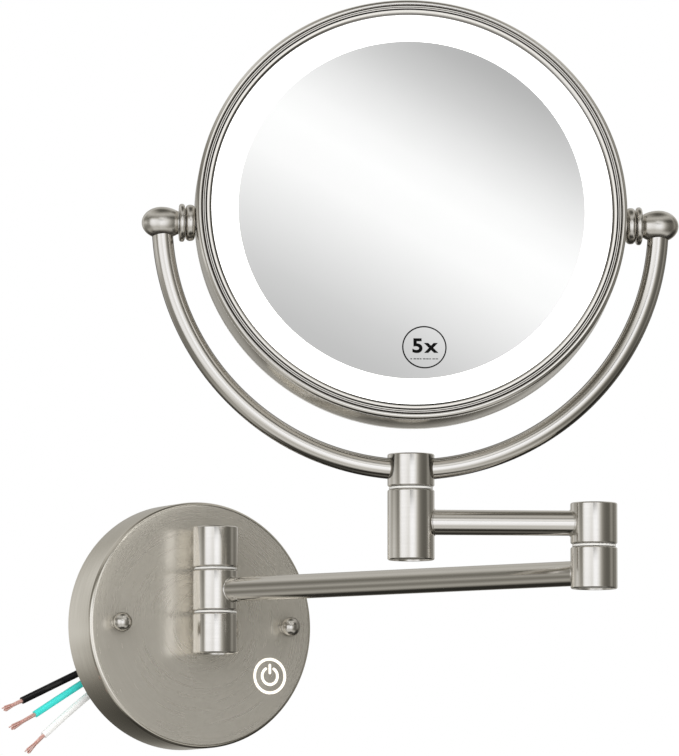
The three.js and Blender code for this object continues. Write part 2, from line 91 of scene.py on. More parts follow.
camera_data = bpy.data.cameras.new("camera")
camera_data.sensor_width = 36
camera_data.lens = FOCAL
camera_data.clip_start, camera_data.clip_end = 0.1, 1000
camera = bpy.data.objects.new("camera", camera_data)
scene.collection.objects.link(camera)
turn = Matrix((RIGHT, UP, BACK)).transposed()
place = BACK * DISTANCE + RIGHT * ACROSS + UP * ABOVE
camera.matrix_world = Matrix.Translation(place) @ turn.to_4x4()
scene.camera = camera
scene.view_settings.view_transform = "Standard"


# ---------------------------------------------------------------- node trees

class Net:
    """Short ways to add nodes to a tree. A value may be a number, a tuple or another socket."""

    def __init__(self, tree):
        self.tree = tree

    def add(self, kind, **settings):
        node = self.tree.nodes.new("ShaderNode" + kind)
        for name, value in settings.items():
            setattr(node, name, value)
        return node

    def plug(self, socket, value):
        if isinstance(value, bpy.types.NodeSocket):
            self.tree.links.new(value, socket)
        else:
            socket.default_value = value

    def math(self, operation, *values):
        node = self.add("Math", operation=operation)
        for socket, value in zip(node.inputs, values):
            self.plug(socket, value)
        return node.outputs[0]

    def vector(self, operation, *values):
        node = self.add("VectorMath", operation=operation)
        for socket, value in zip(node.inputs, values):
            self.plug(socket, value)
        return node

    def remap(self, value, low, high, to_low=0.0, to_high=1.0, smooth=False):
        node = self.add("MapRange", interpolation_type="SMOOTHSTEP" if smooth else "LINEAR")
        for socket, v in zip(node.inputs, (value, low, high, to_low, to_high)):
            self.plug(socket, v)
        return node.outputs[0]

    def curve(self, value, points):
        """A piecewise-linear curve through (x, y) points, from a colour ramp in grey."""
        low, high = points[0][0], points[-1][0]
        node = self.add("ValToRGB")
        ramp = node.color_ramp
        while len(ramp.elements) < len(points):
            ramp.elements.new(0.5)
        for element, (x, y) in zip(ramp.elements, points):
            element.position = (x - low) / (high - low)
            element.color = (y, y, y, 1)
        self.plug(node.inputs[0], self.remap(value, low, high))
        return node.outputs[0]

    def blend(self, amount, first, second):
        node = self.add("Mix", data_type="RGBA")
        self.plug(node.inputs[0], amount)
        self.plug(node.inputs[6], first)
        self.plug(node.inputs[7], second)
        return node.outputs[2]

    def noise(self, vector, scale, detail=3.0, roughness=0.6):
        node = self.add("TexNoise")
        self.plug(node.inputs["Vector"], vector)
        self.plug(node.inputs["Scale"], scale)
        self.plug(node.inputs["Detail"], detail)
        self.plug(node.inputs["Roughness"], roughness)
        return node.outputs["Fac"]

    def combine(self, x, y, z):
        node = self.add("CombineXYZ")
        for socket, value in zip(node.inputs, (x, y, z)):
            self.plug(socket, value)
        return node.outputs[0]


def new_material(name):
    """A material with its nodes, and a short way to fill its shader's sockets."""
    material = bpy.data.materials.new(name)
    material.use_nodes = True
    bsdf = material.node_tree.nodes["Principled BSDF"]
    net = Net(material.node_tree)

    def put(socket, value):
        net.plug(bsdf.inputs[socket], value)

    return material, net, put


# ---------------------------------------------------------------- studio

# Light round the object by heading, in degrees from straight in front.
ROUND_ABOUT = [
    (-180, 0.42), (-150, 0.4), (-138, 0.55), (-128, 0.72), (-118, 0.5), (-106, 0.42), (-94, 0.62),
    (-80, 0.46), (-70, 0.26), (-61, 0.28), (-54, 0.95), (-46, 1.16), (-30, 1.14), (-20, 1.04), (-11, 0.95),
    (0, 1.25), (12, 1.25), (22, 1.02), (30, 0.62), (40, 0.32), (50, 0.19), (64, 0.14), (80, 0.14),
    (92, 0.34), (101, 0.28), (110, 0.14), (120, 0.26), (130, 0.18), (141, 0.5), (160, 0.6), (180, 0.42),
]
# How that light changes with height, in degrees above the horizon: in front, behind and at the left.
FRONT_HEIGHTS = [
    (-90, 0.02), (-76, 0.02), (-67, 0.05), (-59, 0.4), (-52, 0.6), (-42, 0.52), (-34, 0.52), (-26, 0.7),
    (-16, 0.92), (-4, 0.95), (8, 1.0), (14, 1.0), (20, 0.75), (27, 0.35), (35, 0.15), (43, 0.4), (54, 0.5),
    (62, 0.45), (70, 0.25), (78, 0.1), (90, 0.05),
]
FRONT_LEVEL = 1.2
BEHIND_HEIGHTS = [
    (-90, 0.1), (-84, 0.4), (-74, 0.2), (-60, 0.06), (-36, 0.06), (-22, 0.3), (-10, 0.9), (0, 1.0),
    (24, 1.1), (44, 1.25), (54, 1.1), (62, 0.8), (70, 0.35), (78, 0.15), (90, 0.12),
]
BEHIND_LEVEL = 0.48
LEFT_HEIGHTS = [
    (-90, 0.1), (-60, 0.2), (-55, 0.8), (-49, 1.5), (-43, 1.5), (-36, 1.1), (-29, 0.8), (-21, 0.8),
    (-14, 1.1), (-6, 1.5), (1, 1.2), (9, 0.85), (17, 0.7), (25, 0.72), (32, 0.95), (40, 1.5), (46, 2.0),
    (54, 2.2), (66, 1.6), (90, 0.4),
]
LEFT_LEVEL = 0.28
# The soft light that the glass mirrors, across its slope.
SOFT_LIGHT = [
    (8.0, 0.3), (12.9, 0.52), (15.2, 0.66), (17.6, 0.84), (20.0, 0.99), (22.0, 1.05), (24.8, 1.01),
    (28.4, 0.84), (31.9, 0.665), (34.3, 0.58), (38.0, 0.5),
]
SOFT_LIGHT_SLOPE = math.radians(60)
# Where that light fades out, as (outside, inside) in height and then in heading.
SOFT_LIGHT_HEIGHTS = [(8, 10.5), (36, 34)]
SOFT_LIGHT_HEADINGS = [(-8, -4), (27, 22)]


def studio():
    world = bpy.data.worlds.new("studio")
    scene.world = world
    world.use_nodes = True
    tree = world.node_tree
    tree.nodes.clear()
    net = Net(tree)
    direction = net.add("TexCoord").outputs["Generated"]
    front = (math.sin(AZIMUTH), -math.cos(AZIMUTH), 0)
    side = tuple(RIGHT)
    ahead = net.vector("DOT_PRODUCT", direction, front).outputs["Value"]
    across = net.vector("DOT_PRODUCT", direction, side).outputs["Value"]
    height = net.vector("DOT_PRODUCT", direction, (0, 0, 1)).outputs["Value"]
    heading = net.math("DEGREES", net.math("ARCTAN2", across, ahead))
    raised = net.math("DEGREES", net.math("ARCSINE", height))

    around = net.curve(heading, ROUND_ABOUT)
    steep = net.remap(net.math("ABSOLUTE", raised), 25, 60, smooth=True)

    def sector(heights, level, far):
        own = net.blend(far, around, (level, level, level, 1))
        return net.math("MULTIPLY", own, net.curve(raised, heights))

    front_light = sector(FRONT_HEIGHTS, FRONT_LEVEL, steep)
    behind_light = sector(BEHIND_HEIGHTS, BEHIND_LEVEL, steep)
    off_level = net.remap(net.math("ABSOLUTE", net.math("SUBTRACT", raised, 5.0)), 5, 14, smooth=True)
    left_light = sector(LEFT_HEIGHTS, LEFT_LEVEL, off_level)
    in_front = net.remap(ahead, -0.12, 0.12, smooth=True)
    both = net.blend(in_front, behind_light, front_light)
    at_left = net.math(
        "MULTIPLY",
        net.remap(heading, -58, -68, smooth=True),
        net.remap(heading, -135, -105, smooth=True),
    )
    light = net.blend(at_left, both, left_light)

    slope = net.math(
        "ADD",
        net.math("MULTIPLY", heading, math.cos(SOFT_LIGHT_SLOPE)),
        net.math("MULTIPLY", raised, math.sin(SOFT_LIGHT_SLOPE)),
    )
    soft = net.curve(slope, SOFT_LIGHT)
    fades = [(raised, *edge) for edge in SOFT_LIGHT_HEIGHTS]
    fades += [(heading, *edge) for edge in SOFT_LIGHT_HEADINGS]
    inside = net.remap(*fades[0], smooth=True)
    for fade in fades[1:]:
        inside = net.math("MULTIPLY", inside, net.remap(*fade, smooth=True))

    green = net.math("MULTIPLY", light, net.math("MULTIPLY_ADD", light, 0.056, 0.95))
    blue = net.math("MULTIPLY", light, net.math("MULTIPLY_ADD", light, 0.205, 0.82))
    tinted = net.add("CombineColor")
    for socket, value in zip(tinted.inputs, (light, green, blue)):
        net.plug(socket, value)
    shown = net.blend(inside, tinted.outputs[0], soft)

    lit = net.add("Background")
    net.plug(lit.inputs["Color"], shown)
    backdrop = net.add("Background")
    backdrop.inputs["Color"].default_value = (1, 1, 1, 1)
    seen = net.add("LightPath").outputs["Is Camera Ray"]
    mixed = net.add("MixShader")
    net.plug(mixed.inputs[0], seen)
    net.plug(mixed.inputs[1], lit.outputs[0])
    net.plug(mixed.inputs[2], backdrop.outputs[0])
    output = net.add("OutputWorld")
    net.plug(output.inputs["Surface"], mixed.outputs[0])


studio()

FLOOR_Z = -4.0
FLOOR_REACH = 300
SUN_STRENGTH = 2.6
SUN_ANGLE = math.radians(100)
SUN_TURN = (math.radians(38), 0, math.radians(-30))


def floor_and_sun():
    mesh = bpy.data.meshes.new("floor")
    corners = [(x * FLOOR_REACH, y * FLOOR_REACH, 0) for x, y in ((-1, -1), (1, -1), (1, 1), (-1, 1))]
    mesh.from_pydata(corners, [], [(0, 1, 2, 3)])
    floor = bpy.data.objects.new("floor", mesh)
    floor.location.z = FLOOR_Z
    floor.visible_glossy = False
    scene.collection.objects.link(floor)
    material, _, put = new_material("floor")
    put("Base Color", (0.86, 0.86, 0.85, 1))
    put("Roughness", 0.9)
    mesh.materials.append(material)
    sun_data = bpy.data.lights.new("soft_sun", "SUN")
    sun_data.energy = SUN_STRENGTH
    sun_data.angle = SUN_ANGLE
    sun = bpy.data.objects.new("soft_sun", sun_data)
    sun.rotation_euler = SUN_TURN
    sun.visible_glossy = False
    scene.collection.objects.link(sun)


floor_and_sun()


# ---------------------------------------------------------------- materials

BUMP_DEPTH = 0.1 * MM
NICKEL = ((0.735, 0.71, 0.665, 1), (0.795, 0.77, 0.725, 1))
WARM_NICKEL = ((0.735, 0.7, 0.63, 1), (0.795, 0.76, 0.685, 1))
BRIGHT_NICKEL = ((0.84, 0.815, 0.77, 1), (0.9, 0.875, 0.83, 1))
# the dark colour that painted shade blends into grooves
SHADED_NICKEL = (0.06, 0.055, 0.05, 1)
DRAWN_ROUND = 26.0  # lines of noise round a drawn tube
DRAWN_ALONG = 14.0  # and along each metre of it
LINE_SHARE = 0.75  # how much of the tone is fine lines, the rest being broad patches
PATCH_SCALE = 45.0
GROOVE_SHADE_EDGE = 0.1  # how softly a groove's painted shade ends, in millimetres
FACE_FROM, FACE_TO = 0.08, 0.03  # where a duller face sets in, below its height


def object_point(net):
    return net.add("TexCoord").outputs["Object"]


def own_point(net, frame_matrix):
    """The surface point in a piece's own axes, from its place in the object."""
    mapping = net.add("Mapping", vector_type="TEXTURE")
    net.plug(mapping.inputs["Vector"], object_point(net))
    mapping.inputs["Location"].default_value = frame_matrix.translation
    mapping.inputs["Rotation"].default_value = frame_matrix.to_euler()
    return mapping.outputs[0]


def bumpy(net, height, strength):
    """A surface direction for the Normal socket."""
    bump = net.add("Bump")
    bump.inputs["Strength"].default_value = strength
    bump.inputs["Distance"].default_value = BUMP_DEPTH
    net.plug(bump.inputs["Height"], height)
    return bump.outputs[0]


def brushed(
    name, axes, rough=0.15, grain=2600, streak=1.0, bump=0.02, spread=0.25,
    drawn=False, tones=NICKEL, edge=1.0, painted_shade_grooves=(), dull=None,
):
    """Metal with fine lines turned round local Z, or drawn along it.

    edge is the metal's own tint where light glances off it. The grooves listed for painted shade are
    (bottom, top, from radius, to radius); painted shade darkens their colour, more where the surface lies
    deeper. dull is (height, metallic, rougher) for a face
    """
    material, net, put = new_material(name)
    point = own_point(net, axes)
    split = net.add("SeparateXYZ")
    net.plug(split.inputs[0], point)
    x, y, z = split.outputs
    radius = net.math("SQRT", net.math("ADD", net.math("MULTIPLY", x, x), net.math("MULTIPLY", y, y)))
    safe = net.math("MAXIMUM", radius, 0.0002)
    cosine = net.math("DIVIDE", x, safe)
    sine = net.math("DIVIDE", y, safe)
    if drawn:
        lines_at = net.combine(
            net.math("MULTIPLY", cosine, DRAWN_ROUND),
            net.math("MULTIPLY", sine, DRAWN_ROUND),
            net.math("MULTIPLY", z, DRAWN_ALONG),
        )
    else:
        lines_at = net.combine(
            net.math("MULTIPLY", net.math("ADD", radius, z), grain),
            net.math("MULTIPLY", cosine, streak),
            net.math("MULTIPLY", sine, streak),
        )
    lines = net.noise(lines_at, 1.0, 3.0, 0.6)
    patches = net.math("MULTIPLY", net.noise(point, PATCH_SCALE, 2.0, 0.5), 1 - LINE_SHARE)
    tone = net.math("ADD", net.math("MULTIPLY", lines, LINE_SHARE), patches)
    low, high = 0.5 - spread, 0.5 + spread
    colour = net.blend(net.remap(tone, low, high), *tones)
    soft = GROOVE_SHADE_EDGE * MM
    # painted shade: each listed groove's colour is darkened towards SHADED_NICKEL, more the deeper the
    # surface lies
    for painted_shade_groove in painted_shade_grooves:
        bottom, top, start, end = (value * MM for value in painted_shade_groove)
        groove_shade = net.remap(z, top, bottom)
        groove_shade = net.math("MULTIPLY", groove_shade, net.remap(radius, start - soft, start + soft))
        groove_shade = net.math("MULTIPLY", groove_shade, net.remap(radius, end + soft, end - soft))
        colour = net.blend(groove_shade, colour, SHADED_NICKEL)
    put("Base Color", colour)
    gloss = net.remap(tone, low, high, rough + 0.03, rough - 0.02)
    put("Metallic", 1)
    put("Specular Tint", (edge, edge, edge, 1))
    if dull:
        height, metallic, rougher = dull
        face = net.remap(z, (height - FACE_FROM) * MM, (height - FACE_TO) * MM)
        put("Metallic", net.remap(face, 0, 1, 1, metallic))
        gloss = net.math("MULTIPLY_ADD", face, rougher, gloss)
    put("Roughness", gloss)
    put("Normal", bumpy(net, lines, bump))
    return material


def plastic(name, color, rough=0.4, vary=0.08, grain=1500, bump=0.1, shine=0.5):
    """Moulded or extruded plastic: a faint mottle and a fine skin texture."""
    material, net, put = new_material(name)
    point = object_point(net)
    mottle = net.noise(point, grain * 0.2, 3.0)
    darker = tuple(c * (1 - vary) for c in color) + (1,)
    lighter = tuple(min(1, c * (1 + vary)) for c in color) + (1,)
    put("Base Color", net.blend(mottle, darker, lighter))
    put("Roughness", net.remap(mottle, 0.3, 0.7, rough - 0.06, rough + 0.06))
    put("Specular IOR Level", shine)
    put("Normal", bumpy(net, net.noise(point, grain, 2.0), bump))
    return material


def lit(name, color, strength, base=(0.92, 0.92, 0.9)):
    """Frosted plastic with a lamp behind it."""
    material, net, put = new_material(name)
    frost = net.noise(object_point(net), 2500.0, 2.0)
    low = tuple(c * 0.94 for c in base) + (1,)
    put("Base Color", net.blend(frost, low, base + (1,)))
    put("Roughness", net.remap(frost, 0.3, 0.7, 0.5, 0.65))
    put("Emission Color", color + (1,))
    put("Emission Strength", strength)
    put("Normal", bumpy(net, frost, 0.1))
    return material


def silvered(name):
    """Silvered glass: clear, with the faintest haze."""
    material, net, put = new_material(name)
    haze = net.noise(object_point(net), 60.0, 4.0)
    put("Base Color", net.blend(haze, (0.94, 0.945, 0.94, 1), (0.96, 0.962, 0.96, 1)))
    put("Roughness", net.remap(haze, 0.3, 0.7, 0.01, 0.03))
    put("Metallic", 1)
    return material


def zinc(name):
    """Zinc-plated steel: a cloudy grey with a fine spangle."""
    material, net, put = new_material(name)
    point = object_point(net)
    spangle = net.add("TexVoronoi", feature="F1")
    net.plug(spangle.inputs["Vector"], point)
    spangle.inputs["Scale"].default_value = 260
    cell = net.add("SeparateColor")
    net.plug(cell.inputs[0], spangle.outputs["Color"])
    cloud = net.noise(point, 70.0, 4.0)
    tone = net.math("ADD", net.math("MULTIPLY", cell.outputs[0], 0.3), net.math("MULTIPLY", cloud, 0.7))
    put("Base Color", net.blend(tone, (0.5, 0.51, 0.53, 1), (0.72, 0.73, 0.74, 1)))
    put("Roughness", net.remap(tone, 0.2, 0.8, 0.32, 0.5))
    put("Metallic", 1)
    put("Normal", bumpy(net, cloud, 0.1))
    return material


def board(name):
    """A printed circuit board: green resist over copper tracks."""
    material, net, put = new_material(name)
    point = object_point(net)
    tracks = net.add("TexBrick")
    net.plug(tracks.inputs["Vector"], point)
    tracks.inputs["Color1"].default_value = (0.012, 0.11, 0.05, 1)
    tracks.inputs["Color2"].default_value = (0.015, 0.15, 0.07, 1)
    tracks.inputs["Mortar"].default_value = (0.05, 0.3, 0.14, 1)
    tracks.inputs["Scale"].default_value = 250
    tracks.inputs["Mortar Size"].default_value = 0.06
    put("Base Color", tracks.outputs["Color"])
    put("Roughness", net.remap(net.noise(point, 800.0), 0.3, 0.7, 0.3, 0.45))
    put("Normal", bumpy(net, tracks.outputs["Fac"], 0.1))
    return material


def copper(name):
    """Bright bare copper with a darker bloom."""
    material, net, put = new_material(name)
    bloom = net.noise(object_point(net), 900.0, 3.0)
    colour = net.blend(net.remap(bloom, 0.3, 0.7), (0.78, 0.44, 0.39, 1), (0.98, 0.7, 0.63, 1))
    put("Base Color", colour)
    put("Roughness", net.remap(bloom, 0.3, 0.7, 0.4, 0.25))
    put("Metallic", 0.55)
    put("Normal", bumpy(net, bloom, 0.02))
    return material


# ---------------------------------------------------------------- meshes

ON_AXIS = 1e-6  # a profile point nearer the axis than this is one vertex
SHARP = 32  # edges sharper than this many degrees stay crisp


def finished(bm, sharp=SHARP):
    bmesh.ops.recalc_face_normals(bm, faces=bm.faces)
    mesh = bpy.data.meshes.new("piece")
    bm.to_mesh(mesh)
    bm.free()
    mesh.shade_smooth()
    mesh.set_sharp_from_angle(angle=math.radians(sharp))
    return mesh


def circle(sides):
    """The cosine and sine of so many even steps round a circle."""
    angles = [2 * math.pi * k / sides for k in range(sides)]
    return [(math.cos(a), math.sin(a)) for a in angles]


def arc(x, y, r, start, end, steps=8):
    """Points of a round outline about (x, y), from start to end in degrees."""
    points = []
    for k in range(steps + 1):
        a = math.radians(start + (end - start) * k / steps)
        points.append((x + r * math.cos(a), y + r * math.sin(a)))
    return points


def softened(profile, radius, steps=3, loop=True):
    """The profile with each corner off the axis rounded."""
    points = [Vector((r, h)) for r, h in profile]
    made = []
    for i, point in enumerate(points):
        if point.x < ON_AXIS or (not loop and i in (0, len(points) - 1)):
            made.append(tuple(point))
            continue
        before = points[i - 1] - point
        after = points[(i + 1) % len(points)] - point
        trim_a = min(radius, before.length * 0.45)
        trim_b = min(radius, after.length * 0.45)
        a = point + before.normalized() * trim_a
        b = point + after.normalized() * trim_b
        for k in range(steps + 1):
            t = k / steps
            made.append(tuple(a * (1 - t) ** 2 + point * 2 * t * (1 - t) + b * t * t))
    return made


def lathe(profile, sides=96, loop=True, sharp=SHARP):
    """A turned mesh about Z. The profile is (radius, height) in millimetres."""
    bm = bmesh.new()
    rings = []
    for radius, height in profile:
        if radius < ON_AXIS:
            rings.append([bm.verts.new((0, 0, height * MM))])
            continue
        r, h = radius * MM, height * MM
        rings.append([bm.verts.new((r * c, r * s, h)) for c, s in circle(sides)])
    pairs = list(zip(rings, rings[1:]))
    if loop:
        pairs.append((rings[-1], rings[0]))
    for a, b in pairs:
        for i in range(sides):
            j = (i + 1) % sides
            if len(a) == 1:
                bm.faces.new((a[0], b[j], b[i]))
            elif len(b) == 1:
                bm.faces.new((a[i], a[j], b[0]))
            else:
                bm.faces.new((a[i], a[j], b[j], b[i]))
    return finished(bm, sharp)


def skin(bm, rings, loop=True, caps=False):
    """Faces over rings of points, each joined to the next."""
    made = [[bm.verts.new(p) for p in ring] for ring in rings]
    count = len(made[0])
    pairs = list(zip(made, made[1:]))
    if loop:
        pairs.append((made[-1], made[0]))
    for a, b in pairs:
        for i in range(count):
            j = (i + 1) % count
            bm.faces.new((a[i], a[j], b[j], b[i]))
    if caps:
        bm.faces.new(made[0][::-1])
        bm.faces.new(made[-1])


def skinned(rings, sharp=SHARP, **ends):
    bm = bmesh.new()
    skin(bm, rings, **ends)
    return finished(bm, sharp)


def add(node, mesh, axes, material, body):
    """A finished piece that stands for one CAD node."""
    mesh.transform(axes)
    mesh.name = "fine_" + node
    mesh.materials.append(material)
    piece = bpy.data.objects.new(mesh.name, mesh)
    scene.collection.objects.link(piece)
    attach(piece, body)
    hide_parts(node)
    return piece


def add_nickel(node, mesh, axes, body, lines=None, rough=0.14, **look):
    """A nickel piece, whose brushed lines go round its own axes or round others."""
    lines = axes if lines is None else lines
    metal = brushed("nickel_" + node, lines, rough=rough, **look)
    add(node, mesh, axes, metal, body)


def cut(mesh, *cutters):
    """The mesh with closed cutter meshes taken out of it, all in the same axes."""
    base = bpy.data.objects.new("base", mesh)
    scene.collection.objects.link(base)
    tools = []
    for cutter in cutters:
        tool = bpy.data.objects.new("tool", cutter)
        scene.collection.objects.link(tool)
        modifier = base.modifiers.new("cut", "BOOLEAN")
        modifier.operation = "DIFFERENCE"
        modifier.solver = "EXACT"
        modifier.object = tool
        tools.append(tool)
    bpy.context.view_layer.update()
    graph = bpy.context.evaluated_depsgraph_get()
    made = bpy.data.meshes.new_from_object(base.evaluated_get(graph))
    for o in [base, *tools]:
        bpy.data.objects.remove(o)
    made.materials.clear()
    made.shade_smooth()
    made.set_sharp_from_angle(angle=math.radians(SHARP))
    return made


# ---------------------------------------------------------------- places

JOINTS = {j["name"]: j for j in frame["joints"]}
WALL_AXIS = Vector(JOINTS["wall_swing"]["pos_m"])
ELBOW_AXIS = Vector(JOINTS["elbow_swing"]["pos_m"])
POST_AXIS = Vector(JOINTS["post_swivel"]["pos_m"])
TILT_POINT = Vector(JOINTS["head_tilt"]["pos_m"])
TILT_AXIS = Vector(JOINTS["head_tilt"]["axis"])


def upright(point, toward=None):
    """Axes standing on the ground plane at a point, with X towards another point."""
    angle = 0
    if toward is not None:
        angle = math.atan2(toward.y - point.y, toward.x - point.x)
    return Matrix.Translation((point.x, point.y, 0)) @ Matrix.Rotation(angle, 4, "Z")


def shift(x, y, z=0):
    """A move, in millimetres."""
    return Matrix.Translation((x * MM, y * MM, z * MM))


OUTWARD = Matrix.Rotation(math.radians(90), 4, "X")  # local Z becomes the way out of the wall
ALONG_X = Matrix.Rotation(math.radians(90), 4, "Y")  # local Z becomes X
TURNED = Matrix.Rotation(math.pi, 4, "Z")
SIDES = {"right": Matrix.Identity(4), "left": TURNED}
AT_PLATE = OUTWARD
AT_WALL = upright(WALL_AXIS)
LONG_ARM_AXES = upright(WALL_AXIS, ELBOW_AXIS)
SHORT_ARM_AXES = upright(ELBOW_AXIS, POST_AXIS)
YOKE_AXES = Matrix.Translation((POST_AXIS.x, POST_AXIS.y, 0)) @ Matrix.Rotation(
    math.atan2(TILT_AXIS.y, TILT_AXIS.x), 4, "Z"
)
PIVOT_AXES = YOKE_AXES @ Matrix.Translation((0, 0, TILT_POINT.z))
TILT_AXES = PIVOT_AXES @ Matrix.Rotation(math.radians(HEAD["tilt"]), 4, "X")
HEAD_AXES = TILT_AXES @ shift(0, 0, HEAD["rise"])
HEAD_OUT = HEAD_AXES @ OUTWARD
HEAD_BACK = HEAD_AXES @ TURNED @ OUTWARD
ARM_LENGTH = (ELBOW_AXIS - WALL_AXIS).to_2d().length / MM
SHORT_LENGTH = (POST_AXIS - ELBOW_AXIS).to_2d().length / MM


# ---------------------------------------------------------------- supply leads

LEADS = {
    "black": (
        (0.004, 0.004, 0.005),
        [
            (22, 0.3, -3.6), (22, 4, -3.6), (21.1, 8, -3.6), (18.2, 11, -3.7), (13.8, 12.5, -3.9),
            (8, 12.9, -4.3), (1, 12.7, -4.9), (-7, 12.4, -6.1), (-15, 12.2, -8.2), (-22, 12.1, -10.8),
            (-30, 12, -14.2), (-38, 12, -17.9), (-49.7, 12, -23.3), (-60, 12, -28.1), (-70, 12, -32.8),
            (-79, 12, -37),
        ],
        (-88.8, 12, -41.5),
    ),
    "green": (
        (0.06, 0.77, 0.71),
        [
            (24.1, 0.3, -7.2), (24.1, 5, -7.2), (23.2, 10, -7.2), (20, 14.2, -7.2), (15, 16.2, -7.4),
            (9, 16.6, -7.9), (2, 16.2, -8.8), (-6, 15.4, -10.5), (-14, 14.5, -12.8), (-22, 13.7, -15.6),
            (-30, 13, -18.9), (-38, 12.4, -22.8), (-47.3, 12.1, -28.2), (-60, 12, -36), (-72, 12, -43.5),
        ],
        (-85, 12, -50.6),
    ),
    "white": (
        (0.95, 0.95, 0.94),
        [
            (19.9, 0.3, -7.2), (19.9, 3.5, -7.2), (18.9, 7.2, -7.4), (16.2, 9.8, -8.1),
            (12.2, 10.9, -9.1), (7, 11.2, -10.4), (0, 11.2, -12.1), (-8, 11.2, -14.4),
            (-16, 11.3, -17.4), (-24, 11.5, -21.1), (-32, 11.7, -25.8), (-38, 11.9, -29.8),
            (-44.5, 12, -34.6), (-56, 12, -43.9), (-67.3, 12, -53.6),
        ],
        (-76.3, 12, -62.1),
    ),
}
STRANDS = 7
STRAND_R = 0.34
STRAND_TWIST = 0.16
STRAND_SPLAY = 0.8
SPLAY_FROM = 0.6  # where along the bare tip the strands start to splay
STRAND_STEPS = 20
INSIDE = 0.25  # the core's reach into the insulation, as a share of the bare tip


def rounded_wire(points, radius, sides=10):
    """Rings round a line of points, closed at both ends by smaller rings."""
    rings = []
    last = len(points) - 1
    for i, point in enumerate(points):
        ahead = (points[min(i + 1, last)] - points[max(i - 1, 0)]).normalized()
        side = ahead.orthogonal().normalized()
        other = ahead.cross(side)
        shapes = [(0, radius)]
        if i == 0:
            shapes = [(-radius * 0.5, radius * 0.5), (0, radius)]
        if i == last:
            shapes = [(0, radius), (radius * 0.5, radius * 0.5)]
        for along, r in shapes:
            centre = point + ahead * along
            rings.append([centre + (side * c + other * s) * r for c, s in circle(sides)])
    return rings


def bare_core(start, tip):
    """Seven twisted strands that splay a little at the tip."""
    axis = tip - start
    ahead = axis.normalized()
    side = ahead.cross(Vector((0, 1, 0))).normalized()
    other = ahead.cross(side)
    bm = bmesh.new()
    for strand in range(STRANDS):
        ring = 0 if strand == 0 else (WIRE["core"] - STRAND_R) * MM
        points = []
        shorter = 0.05 * (strand % 3 if strand else 1)
        for k in range(STRAND_STEPS + 1):
            t = k / STRAND_STEPS
            a = 2 * math.pi * (strand / (STRANDS - 1) + STRAND_TWIST * t)
            spread = ring * (1 + STRAND_SPLAY * max(0, t - SPLAY_FROM) / (1 - SPLAY_FROM))
            reach = axis * (-INSIDE + (1 + INSIDE - shorter) * t)
            points.append(start + reach + (side * math.cos(a) + other * math.sin(a)) * spread)
        skin(bm, rounded_wire(points, STRAND_R * MM), loop=False, caps=True)
    return finished(bm)


def add_lead(colour, tint, route, tip):
    points = [Vector(p) * MM for p in route]
    curve = bpy.data.curves.new("lead_" + colour, "CURVE")
    curve.dimensions = "3D"
    curve.resolution_u = 8
    curve.bevel_depth = WIRE["r"] * MM
    curve.bevel_resolution = 6
    curve.use_fill_caps = True
    spline = curve.splines.new("BEZIER")
    spline.bezier_points.add(len(points) - 1)
    for knot, point in zip(spline.bezier_points, points):
        knot.co = point
        knot.handle_left_type = knot.handle_right_type = "AUTO"
    pvc = plastic("pvc_" + colour, tint, rough=0.16, vary=0.03, grain=300, bump=0.01)
    curve.materials.append(pvc)
    lead = bpy.data.objects.new("lead_" + colour, curve)
    lead.visible_glossy = False
    scene.collection.objects.link(lead)
    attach(lead, "wall_plate")
    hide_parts("wire_" + colour)
    core_node = f"wire_{colour}_core"
    mesh = bare_core(points[-1], Vector(tip) * MM)
    core = add(core_node, mesh, Matrix.Identity(4), copper("copper_" + colour), "wall_plate")


for colour, (tint, route, tip) in LEADS.items():
    add_lead(colour, tint, route, tip)


# ---------------------------------------------------------------- wall plate

def drilled(x, z, r, low, high, sides=48):
    """A closed pin standing out of the wall, in the plate's own axes, to cut a hole."""
    mesh = lathe([(0, low), (r, low), (r, high), (0, high)], sides, loop=False)
    mesh.transform(shift(x, z))
    return mesh


def halfway(low, high):
    return (low + high) / 2


def gap_side(height, side):
    """The knuckle end that faces a washer, above it for side 1 and below it for side -1."""
    return height + side * (WASHER["thick"] / 2 + GAP)


STUB_HEIGHTS = {
    "upper": halfway(gap_side(WALL_BARREL["high_gap"], 1), WALL_BARREL["top"]),
    "lower": halfway(WALL_BARREL["bottom"], gap_side(WALL_BARREL["low_gap"], -1)),
}
FACE = PLATE["depth"]


def add_cover():
    r, depth, wall, fillet = PLATE["r"], PLATE["depth"], PLATE["wall"], PLATE["fillet"]
    inside = r - wall
    profile = [(0, depth - wall), (inside - wall, depth - wall), (inside, depth - 2 * wall), (inside, 0.4)]
    profile += [(inside + 0.3, 0), (r - 0.3, 0), (r, 0.4)]
    profile += arc(r - fillet, depth - fillet, fillet, 0, 90)
    profile += [(r - 8, depth), (0, depth)]
    mesh = lathe(profile, 192, loop=False)
    through = (FACE - 3, FACE + 1)
    cutters = [drilled(x, 0, STUD["hole"], *through) for x in (-STUD["x"], STUD["x"])]
    cutters.append(drilled(TOUCH["x"], TOUCH["z"], TOUCH["ring"] + 0.08, *through, 96))
    cutters += [drilled(0, height, STUB["r"] + 0.1, *through) for height in STUB_HEIGHTS.values()]
    mesh = cut(mesh, *cutters)
    metal = brushed(
        "nickel_plate", AT_PLATE, rough=0.15, grain=1100, bump=0.06, spread=0.12,
        tones=WARM_NICKEL, dull=(depth, 0.71, 0.1),
    )
    add("wall_plate_cover", mesh, AT_PLATE, metal, "wall_plate")
    return metal


